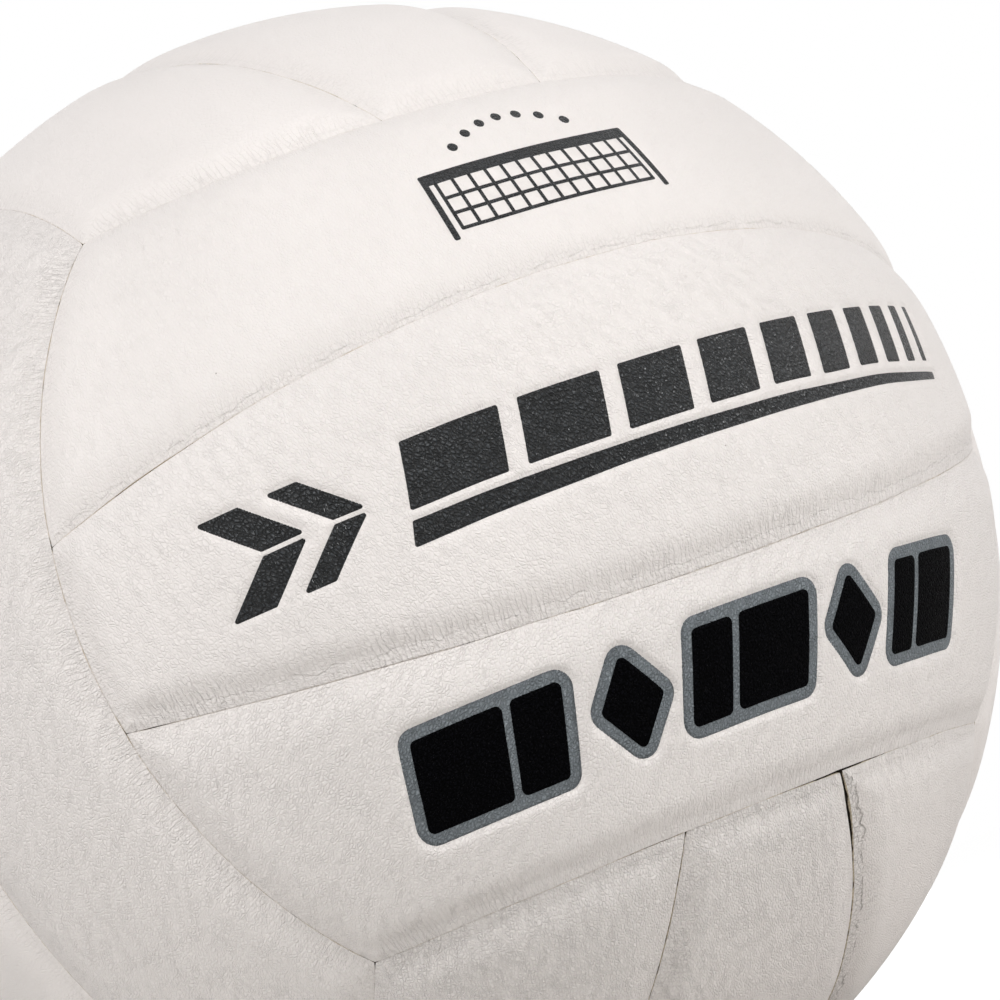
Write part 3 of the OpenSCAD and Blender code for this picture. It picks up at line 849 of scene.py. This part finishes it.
def leather_material(colour, hair):
    """White synthetic leather, polyurethane on cloth, embossed with a fine nappa grain. It gives a
    soft satin sheen, a hardly visible grain, tight puckers and a crinkled hem beside the seams and
    a tan hairline where the cloth shows at the fold. Its creases get a painted shade, darker than
    the cells and folds beside them."""
    mat, tree = new_material("pu_leather_embossed", colour)
    ball = object_place(tree)
    away = add(tree, "SeparateXYZ", (map_place(tree, "Edge"),)).outputs
    nearest = add(tree, "Math", (away["X"], away["Y"]), operation="MINIMUM")
    side = add(tree, "SeparateXYZ", (add(tree, "UVMap", uv_map="Pull"),)).outputs
    grain, pebbles, share = grain_height(tree)
    creases = gathered_creases(tree, away, nearest, side["X"])
    band, tops, border = crinkled_hem(tree, nearest, side["X"], side["Y"])
    height = add(tree, "Math", (grain, creases), **LESS)
    height = add(tree, "Math", (tops, band, height), **TIMES_PLUS)
    height = add(tree, "Math", (border, -0.08, height), **TIMES_PLUS)
    bump = add(tree, "Bump", {"Height": height, "Strength": 1, "Distance": MM})
    # The hide is a little lighter in some clouds, and has a few small dark specks
    cloud = add(tree, "TexNoise", {"Vector": ball, "Scale": 0.035, "Detail": 3})
    cloud = add(tree, "MapRange", (cloud, 0.3, 0.7), **SMOOTH)
    pale = tuple(part * 1.03 for part in linear(colour)[:3]) + (1.0,)
    tone = add(tree, "Mix", {"Factor": cloud, "A": linear(colour), "B": pale}, **COLOUR)
    specks = add(tree, "TexVoronoi", {"Vector": ball, "Scale": 0.085})
    specks = add(tree, "MapRange", (specks, 0.014, 0.006, 0, 0.7), **SMOOTH)
    tone = add(tree, "Mix", {"Factor": specks, "A": tone, "B": linear(SPECK)}, **COLOUR)
    # Painted shade: creases in the grain, beside the seams and in the hem are darker than what lies beside
    # them
    deeper = add(tree, "Math", (share, 0.012), **TIMES)
    shade = add(tree, "Math", (add(tree, "Math", (1, pebbles), **LESS), deeper), **TIMES)
    shade = add(tree, "Math", (creases, 1.8, shade), **TIMES_PLUS)
    shade = add(tree, "Math", (border, 0.12, shade), **TIMES_PLUS)
    dips = add(tree, "Math", (add(tree, "Math", (1, tops), **LESS), band), **TIMES)
    shade = add(tree, "Math", (dips, 2, shade), **TIMES_PLUS)
    tone = add(tree, "Mix", {"Factor": shade, "A": tone, "B": linear(CREASE_SHADE)}, **COLOUR)
    # The hairline comes and goes in long stretches and in short dashes
    stretches = add(tree, "TexNoise", {"Vector": ball, "Scale": 0.16, "Detail": 3})
    stretches = add(tree, "MapRange", (stretches, 0.45, 0.65, 0, 0.5), **SMOOTH)
    dashes = add(tree, "TexNoise", {"Vector": ball, "Scale": 0.8, "Detail": 2})
    dashes = add(tree, "MapRange", (dashes, 0.42, 0.56, 0.25, 1), **SMOOTH)
    line = add(tree, "MapRange", (nearest, 0.13, 0.03), **SMOOTH)
    line = add(tree, "Math", (add(tree, "Math", (line, stretches), **TIMES), dashes), **TIMES)
    tone = add(tree, "Mix", {"Factor": line, "A": tone, "B": linear(hair)}, **COLOUR)
    rough = add(tree, "MapRange", (pebbles, 0, 1, 0.58, 0.46), **SMOOTH)
    body = add(tree, "BsdfPrincipled", {"Base Color": tone, "Roughness": rough, "Normal": bump,
                                        "Specular IOR Level": 0.36, "IOR": 1.46})
    add(tree, "OutputMaterial", {"Surface": body})
    return mat


def ink_material(name, colour, roughness, gloss, tops, weave=0):
    """Printing ink pressed into the leather. Its face catches the light on each cell of the grain,
    where a painted highlight in the tops colour makes it lighter in random flakes, and stays dark
    in the creases. The weave is the height in millimetres of threads 0.5 mm apart in the large
    print's film."""
    mat, tree = new_material(name, colour)
    grain, pebbles, _ = grain_height(tree)
    place = add(tree, "SeparateXYZ", (map_place(tree, "Surface"),)).outputs
    threads = [add(tree, "Math", (place[k], 2 * np.pi / 0.5), **TIMES) for k in "XY"]
    threads = [add(tree, "Math", (thread,), operation="SINE") for thread in threads]
    threads = add(tree, "Math", (add(tree, "Math", threads, **TIMES), weave), **TIMES)
    height = add(tree, "Math", (grain, 7, threads), **TIMES_PLUS)
    bump = add(tree, "Bump", {"Height": height, "Strength": 1, "Distance": MM})
    flakes = add(tree, "TexNoise", {"Vector": object_place(tree), "Scale": 3.4, "Detail": 2})
    # Painted highlight: the tops colour on the grain's cells, in random flakes
    painted_highlight = add(tree, "MapRange", (flakes, 0.4, 0.62), **SMOOTH)
    painted_highlight = add(tree, "Math", (painted_highlight, add(tree, "MapRange", (pebbles, 0.2, 1, 0.1, 1), **SMOOTH)), **TIMES)
    tone = add(tree, "Mix", {"Factor": painted_highlight, "A": linear(colour), "B": linear(tops)}, **COLOUR)
    rough = add(tree, "MapRange", (flakes, 0.3, 0.7, roughness + 0.08, roughness - 0.06), **SMOOTH)
    body = add(tree, "BsdfPrincipled", {"Base Color": tone, "Roughness": rough, "Normal": bump,
                                        "Specular IOR Level": gloss})
    add(tree, "OutputMaterial", {"Surface": body})
    return mat


def cloth_material(name, colour, dark, spacing, depth, shade=None):
    """Woven cloth, or the cloth side of turned leather: two sets of threads at the spacing that is
    given in millimetres, darker between them. With a shade it turns to that colour from about 1.6
    to 1.85 mm under the ball's surface, at an uneven depth, as painted shade for the inside of a
    seam."""
    mat, tree = new_material(name, colour)
    ball = object_place(tree)
    sets = {"Vector": ball, "Scale": 1 / spacing, "Distortion": 0.6, "Detail": 1}
    threads = [add(tree, "TexWave", sets, bands_direction=k).outputs["Fac"] for k in "XZ"]
    height = add(tree, "Math", threads, **TIMES)
    bump = add(tree, "Bump", {"Height": height, "Strength": 0.6, "Distance": depth})
    tone = add(tree, "Mix", {"Factor": height, "A": linear(dark), "B": linear(colour)}, **COLOUR)
    if shade:
        # Painted shade: deeper inside a seam the cloth turns to the shade colour
        radius = add(tree, "VectorMath", (ball,), operation="LENGTH")
        uneven = add(tree, "TexNoise", {"Vector": ball, "Scale": 0.5, "Detail": 1})
        level = add(tree, "Math", (uneven, 0.9, radius), **TIMES_PLUS)
        level = add(tree, "MapRange", (level, BALL_R - 1.15, BALL_R - 1.4), **SMOOTH)
        tone = add(tree, "Mix", {"Factor": level, "A": tone, "B": linear(shade)}, **COLOUR)
    body = add(tree, "BsdfPrincipled", {"Base Color": tone, "Roughness": 0.85, "Normal": bump,
                                        "Specular IOR Level": 0.25})
    add(tree, "OutputMaterial", {"Surface": body})
    return mat


def rubber_material(name, colour, roughness, scale):
    """Butyl or moulded rubber: dull black with a dusting of talc and fine mould texture."""
    mat, tree = new_material(name, colour)
    ball = object_place(tree)
    fine = add(tree, "TexNoise", {"Vector": ball, "Scale": scale, "Detail": 3})
    bump = add(tree, "Bump", {"Height": fine, "Strength": 0.4, "Distance": 0.08 * MM})
    dust = add(tree, "TexNoise", {"Vector": ball, "Scale": 0.2, "Detail": 5})
    dust = add(tree, "MapRange", (dust, 0.4, 0.75), **SMOOTH)
    dusty = tuple(part * 1.6 + 0.006 for part in linear(colour)[:3]) + (1.0,)
    tone = add(tree, "Mix", {"Factor": dust, "A": linear(colour), "B": dusty}, **COLOUR)
    rough = add(tree, "MapRange", (fine, 0.3, 0.7, roughness - 0.06, roughness + 0.08), **SMOOTH)
    body = add(tree, "BsdfPrincipled", {"Base Color": tone, "Roughness": rough, "Normal": bump,
                                        "Specular IOR Level": 0.45, "IOR": 1.52})
    add(tree, "OutputMaterial", {"Surface": body})
    return mat


def foam_material(name, colour):
    """Closed-cell foam, skived from a block: matt, with cells 0.4 mm wide."""
    mat, tree = new_material(name, colour)
    place = object_place(tree)
    cells = add(tree, "TexVoronoi", {"Vector": place, "Scale": 2.4}, feature="DISTANCE_TO_EDGE")
    bump = add(tree, "Bump", {"Height": cells, "Strength": 0.8, "Distance": 0.1 * MM}, invert=True)
    walls = add(tree, "MapRange", (cells, 0, 0.2), **SMOOTH)
    tone = add(tree, "Mix", {"Factor": walls, "A": linear(FOAM_HOLE), "B": linear(colour)}, **COLOUR)
    body = add(tree, "BsdfPrincipled", {"Base Color": tone, "Roughness": 0.9, "Normal": bump,
                                        "Specular IOR Level": 0.2})
    add(tree, "OutputMaterial", {"Surface": body})
    return mat


def thread_material(name, colour):
    """Twisted polyester sewing thread: plies 0.3 mm apart."""
    mat, tree = new_material(name, colour)
    plies = {"Vector": object_place(tree), "Scale": 1, "Distortion": 1}
    plies = add(tree, "TexWave", plies, bands_direction="DIAGONAL").outputs["Fac"]
    bump = add(tree, "Bump", {"Height": plies, "Strength": 0.7, "Distance": 0.06 * MM})
    tone = add(tree, "Mix", {"Factor": plies, "A": linear(PLY_SHADOW), "B": linear(colour)}, **COLOUR)
    body = add(tree, "BsdfPrincipled", {"Base Color": tone, "Roughness": 0.6, "Normal": bump,
                                        "Sheen Weight": 0.3})
    add(tree, "OutputMaterial", {"Surface": body})
    return mat


def floor_material():
    """A sheet of matt white paper. The camera sees most of it as plain white, and a share of it by
    its own shading, so that the ball's shadow stays."""
    mat, tree = new_material("studio_paper_matt", "#ebeae7")
    fibre = add(tree, "TexNoise", {"Vector": object_place(tree), "Scale": 0.5, "Detail": 3})
    tone = {"Factor": fibre, "A": linear("#e9e8e5"), "B": linear("#edece9")}
    tone = add(tree, "Mix", tone, **COLOUR)
    body = add(tree, "BsdfPrincipled", {"Base Color": tone, "Roughness": 0.9, "Specular IOR Level": 0.1})
    white = add(tree, "Emission", {"Color": (1, 1, 1, 1), "Strength": 1.2})
    seen = add(tree, "Math", (add(tree, "LightPath").outputs["Is Camera Ray"], 0.8), **TIMES)
    add(tree, "OutputMaterial", {"Surface": add(tree, "MixShader", (seen, body, white))})
    return mat


MADE = {}


def material(kind):
    """The material of that kind, made once from the colours in the panel."""
    colours = bpy.context.scene.volleyball_finish
    makers = {
        "leather": (leather_material, colours.leather, colours.hairline),
        # The hem's last colour is the painted shade deep inside a seam
        "hem": (cloth_material, "leather_folded_hem", "#ece3d6", "#cfc0a6", 0.4, 0.04 * MM, "#2b241c"),
        "backing": (cloth_material, "leather_backing_cloth", "#d8cfc2", "#b9aea0", 0.5, 0.05 * MM),
        # The last colour of each ink is the painted highlight on the cells of its grain
        "ink": (ink_material, "screen_ink_satin", colours.ink, 0.27, 0.38, "#303438"),
        "film": (ink_material, "transfer_film_woven", colours.film, 0.5, 0.02, "#0c0c10", 0.006),
        "grey": (ink_material, "metallic_ink_flaked", colours.grey, 0.5, 0.3, "#8b9297"),
        "foam": (foam_material, "closed_cell_foam", "#e8dcae"),
        "lining": (cloth_material, "lining_cloth_woven", "#d9d6cf", "#aeaaa2", 0.5, 0.08 * MM),
        "stitching": (thread_material, "polyester_thread_twisted", "#c9b79a"),
        "bladder": (rubber_material, "butyl_rubber_dipped", "#2b2b2d", 0.62, 1.2),
        "valve_patch": (rubber_material, "patch_rubber_calendered", "#3a3a3c", 0.7, 2.0),
        "valve_socket": (rubber_material, "valve_rubber_moulded", "#1f1f21", 0.5, 1.6),
        "valve_plug": (rubber_material, "plug_rubber_moulded", "#161618", 0.45, 1.8),
    }
    if kind not in MADE:
        maker, *values = makers[kind]
        MADE[kind] = maker(*values)
    return MADE[kind]


# The add-on's properties, operators and panel

LENGTH = {"unit": "LENGTH", "precision": 5}


class VolleyballCover(bpy.types.PropertyGroup):
    """Sizes of the cover."""
    tilt: bpy.props.FloatProperty(
        name="Seam tilt", description="Tilt of a face's inner seams", default=np.radians(14.15),
        subtype="ANGLE")
    roll_w: bpy.props.FloatProperty(
        name="Roll width", description="Width of the rolled band beside a seam", default=0.0082, **LENGTH)
    roll_depth: bpy.props.FloatProperty(
        name="Roll depth", description="Depth of a plain rolled edge", default=0.0018, **LENGTH)
    hem_w: bpy.props.FloatProperty(
        name="Hem width", description="How much narrower a pulled hem's roll is", default=0.0014, **LENGTH)
    hem_depth: bpy.props.FloatProperty(
        name="Hem depth", description="Depth at which a pulled hem lies flat", default=0.00138, **LENGTH)
    fold_depth: bpy.props.FloatProperty(
        name="Fold depth", description="How far the fold dips into the seam", default=0.00004, **LENGTH)
    gap: bpy.props.FloatProperty(
        name="Gap", description="Half width of the hairline between panels", default=0.00002, **LENGTH)
    corner_cut: bpy.props.FloatProperty(
        name="Corner", description="How far a panel's corner is drawn back", default=0.00006, **LENGTH)
    wrinkle_depth: bpy.props.FloatProperty(
        name="Puckers", description="Depth of the puckers", default=0.00008, **LENGTH)
    wrinkle_reach: bpy.props.FloatProperty(
        name="Pucker reach", description="How far from a seam they reach", default=0.0034, **LENGTH)
    wave: bpy.props.FloatProperty(
        name="Waves", description="Depth of the foam's slow waves", default=0.0001, **LENGTH)
    wander: bpy.props.FloatProperty(
        name="Wander", description="How far a seam wanders sideways", default=0.00016, **LENGTH)


class VolleyballFinish(bpy.types.PropertyGroup):
    """Colours of the finishes, as sRGB hex."""
    leather: bpy.props.StringProperty(
        name="Leather", description="White synthetic leather", default="#f1ebe8")
    hairline: bpy.props.StringProperty(
        name="Hairline", description="Tan line where the seam closes", default="#c9b590")
    ink: bpy.props.StringProperty(name="Ink", description="Satin charcoal ink", default="#090b0d")
    film: bpy.props.StringProperty(name="Film", description="Black transfer film", default="#020203")
    grey: bpy.props.StringProperty(name="Grey", description="Metallic grey ink", default="#767d82")


class VolleyballStage(bpy.types.PropertyGroup):
    """Light and lens of the stage."""
    lens: bpy.props.FloatProperty(
        name="Lens", description="Focal length in mm on a 36 mm wide sensor", default=110.81)
    ambient: bpy.props.FloatProperty(
        name="Ambient", description="Strength of the white surroundings", default=0.16)
    key: bpy.props.FloatProperty(
        name="Key", description="Power of the large soft lamp in front", default=9.2, unit="POWER")
    fill: bpy.props.FloatProperty(
        name="Fill", description="Power of the lamp on the left", default=10.5, unit="POWER")
    top: bpy.props.FloatProperty(
        name="Top", description="Power of the lamp above", default=0.7, unit="POWER")
    back: bpy.props.FloatProperty(
        name="Back", description="Power of the lamp behind the ball", default=10.4, unit="POWER")
    side: bpy.props.FloatProperty(
        name="Side", description="Power of the small lamp low on the right", default=5.6, unit="POWER")


def dressed(piece, nodes=()):
    """A new piece rides with the ball and hides the CAD nodes it shows."""
    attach(piece, "root")
    for node in nodes:
        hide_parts(node)


def cover_sizes():
    """The cover's sizes as the functions use them: lengths in millimetres, the tilt in degrees."""
    group = bpy.context.scene.volleyball_cover
    sizes = {name: getattr(group, name) / MM for name in group.__annotations__}
    sizes["tilt"] = np.degrees(group.tilt)
    return SimpleNamespace(**sizes)


def build_face(face):
    """The three leather panels of one face."""
    look = cover_sizes()
    for strip in (-1, 0, 1):
        piece = leather_shell(face, strip, look)
        dressed(piece, [f"{panel_name(face, strip)}_panel"])


class VOLLEYBALL_OT_panels(bpy.types.Operator):
    """Build the three leather panels of each face of the cover"""
    bl_idname = "volleyball.panels"
    bl_label = "Leather panels"

    def execute(self, context):
        for face in FACES:
            build_face(face)
        return {"FINISHED"}


class VOLLEYBALL_OT_prints(bpy.types.Operator):
    """Lay the ink of the pressed prints on the front face"""
    bl_idname = "volleyball.prints"
    bl_label = "Prints"

    def execute(self, context):
        for name in PRINTS:
            dressed(print_sheet(name, cover_sizes()))
        return {"FINISHED"}


class VOLLEYBALL_OT_inside(bpy.types.Operator):
    """Give the foam, lining, stitching, bladder and valve their materials"""
    bl_idname = "volleyball.inside"
    bl_label = "Inner parts and valve"

    def execute(self, context):
        rubber = ("bladder", "valve_patch", "valve_socket", "valve_plug")
        for name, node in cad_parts.items():
            kind = name if name in rubber else name.rsplit("_", 1)[1]
            if kind == "panel":
                continue
            node.data.materials.clear()
            node.data.materials.append(material(kind))
        return {"FINISHED"}


def stand(obj, right, up, back, place):
    """Put a lamp or camera in the scene: its own right, up and back directions and its place in
    metres are the columns of its matrix."""
    matrix = np.eye(4)
    matrix[:3] = np.stack([right, up, back, place], axis=1)
    obj.matrix_world = Matrix(matrix.tolist())
    bpy.context.scene.collection.objects.link(obj)


def lamp(name, place, size, power):
    """A square soft lamp, in metres, that looks from its place to the ball's centre."""
    light = bpy.data.lights.new(name, "AREA")
    light.shape, light.size, light.energy = "SQUARE", size, power
    obj = bpy.data.objects.new(name, light)
    obj.visible_camera = False
    back = unit(np.array(place, float))
    right = unit(np.cross((0.0, 0.0, 1.0), back))
    stand(obj, right, np.cross(back, right), back, place)


# The camera: its right, up and back directions and its place in metres, fitted to the seams
CAMERA = ((0.82582, -0.41163, -0.38547), (0.26464, -0.32073, 0.90945), (-0.49798, -0.85305, -0.15594),
          (-0.254197, -0.480298, -0.075633))
FLOOR_SIZE = 8.0


class VOLLEYBALL_OT_stage(bpy.types.Operator):
    """Set up the camera, the pale floor, the white surroundings and the soft lamps"""
    bl_idname = "volleyball.stage"
    bl_label = "Stage"

    def execute(self, context):
        scene, stage = context.scene, context.scene.volleyball_stage
        camera = bpy.data.cameras.new("camera")
        camera.sensor_width, camera.lens = 36, stage.lens
        camera.clip_start, camera.clip_end = 0.01, 50
        eye = bpy.data.objects.new("camera", camera)
        stand(eye, *CAMERA)
        scene.camera = eye
        # The floor is one large square under the ball, in the plane of its lowest point
        share = np.linspace(-FLOOR_SIZE, FLOOR_SIZE, 5)
        x, y = np.meshgrid(share, share)
        points = np.stack([x, y, np.full_like(x, CAD_BOX[0][2])], -1).reshape(-1, 3)
        index = np.arange(x.size).reshape(x.shape)
        floor = new_piece("floor", points, [(grid_faces(index), 0)], [floor_material()])
        world = bpy.data.worlds.new("surroundings")
        scene.world = world
        world.use_nodes = True
        tree = world.node_tree
        tree.nodes.clear()
        path = add(tree, "LightPath").outputs
        seen = add(tree, "Math", (path["Is Glossy Ray"], path["Is Transmission Ray"]), operation="MAXIMUM")
        seen = add(tree, "Math", (path["Is Camera Ray"], seen), operation="MAXIMUM")
        strength = add(tree, "MapRange", {"Value": seen, "To Min": stage.ambient, "To Max": 1})
        sky = add(tree, "Background", {"Color": (1, 1, 1, 1), "Strength": strength})
        add(tree, "OutputWorld", {"Surface": sky})
        lamp("front_lamp", (-0.1, -1.3, 1.0), 1.0, stage.key)
        lamp("left_lamp", (-1.1, -0.6, 0.9), 1.0, stage.fill)
        lamp("top_lamp", (0, -0.1, 1.5), 1.6, stage.top)
        lamp("right_lamp", (1.0, -0.9, -0.01), 0.16, stage.side)
        lamp("low_lamp", (-1.4, 0.1, 0.08), 0.3, stage.side / 10)
        # Across the ball from the camera, so that it lights the far side and not the seen one
        lamp("back_lamp", (0.79, 1.49, 0.24), 0.56, stage.back)
        scene.view_settings.view_transform = "Standard"
        return {"FINISHED"}


class VOLLEYBALL_PT_parts(bpy.types.Panel):
    """Lists the pieces of the ball, its sizes and its colours"""
    bl_label = "Volleyball"
    bl_idname = "VOLLEYBALL_PT_parts"
    bl_space_type = "VIEW_3D"
    bl_region_type = "UI"
    bl_category = "Volleyball"

    def draw(self, context):
        for operator in OPERATORS:
            self.layout.operator(operator.bl_idname)
        scene = context.scene
        for group in (scene.volleyball_cover, scene.volleyball_finish, scene.volleyball_stage):
            box = self.layout.box()
            for name in group.__annotations__:
                box.prop(group, name)


OPERATORS = (VOLLEYBALL_OT_panels, VOLLEYBALL_OT_prints, VOLLEYBALL_OT_inside, VOLLEYBALL_OT_stage)
CLASSES = (VolleyballCover, VolleyballFinish, VolleyballStage) + OPERATORS + (VOLLEYBALL_PT_parts,)


def register():
    """Registers the classes and hangs the three groups of properties on the scene."""
    for cls in CLASSES:
        bpy.utils.register_class(cls)
    bpy.types.Scene.volleyball_cover = bpy.props.PointerProperty(type=VolleyballCover)
    bpy.types.Scene.volleyball_finish = bpy.props.PointerProperty(type=VolleyballFinish)
    bpy.types.Scene.volleyball_stage = bpy.props.PointerProperty(type=VolleyballStage)


def unregister():
    """Takes the properties and the classes away again."""
    del bpy.types.Scene.volleyball_stage, bpy.types.Scene.volleyball_finish
    del bpy.types.Scene.volleyball_cover
    for cls in reversed(CLASSES):
        bpy.utils.unregister_class(cls)


def main():
    register()
    bpy.ops.volleyball.panels()
    bpy.ops.volleyball.prints()
    bpy.ops.volleyball.inside()
    bpy.ops.volleyball.stage()


if __name__ == "__main__":
    main()
